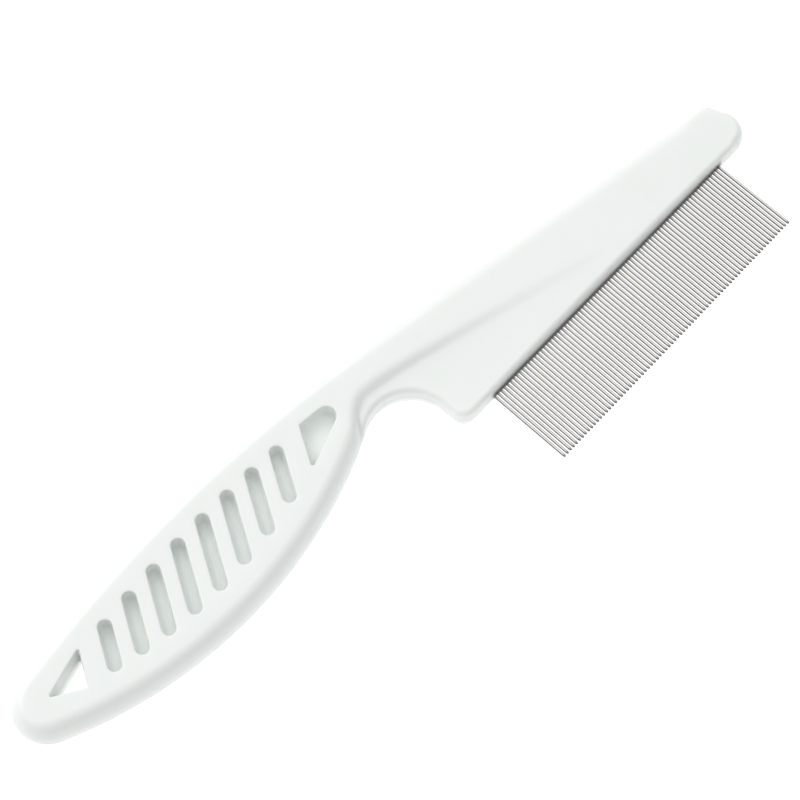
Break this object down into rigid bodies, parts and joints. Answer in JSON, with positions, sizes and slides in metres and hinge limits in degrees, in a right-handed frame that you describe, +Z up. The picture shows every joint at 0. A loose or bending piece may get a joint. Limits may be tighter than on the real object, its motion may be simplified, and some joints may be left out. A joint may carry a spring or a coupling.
{
  "type": "flea comb",
  "caption": "Hand-held flea comb: a moulded leaf-shaped handle with slanted grip slots and a hanging hole, and a long head whose edge holds one row of fine round steel pins.",
  "frame": {"origin": "middle of the bounding box, at the bottom, on the surface that the comb lies on", "axes": "+X from the tail end to the head tip, along the pin row; the pins point to -Y; +Z up, out of the front face"},
  "size_m": [0.18, 0.0466, 0.009],
  "materials": {
    "white_plastic": "glossy injection-moulded plastic, cool white",
    "steel_wire": "bright drawn stainless wire, ground tips"
  },
  "bodies": {
    "root": {"handle": "white_plastic", "pin_bank_01": "steel_wire", "pin_bank_02": "steel_wire", "pin_bank_03": "steel_wire", "pin_bank_04": "steel_wire", "pin_bank_05": "steel_wire", "pin_bank_06": "steel_wire", "pin_bank_07": "steel_wire", "pin_bank_08": "steel_wire", "pin_bank_09": "steel_wire", "pin_bank_10": "steel_wire", "pin_bank_11": "steel_wire"}
  },
  "joints": []
}
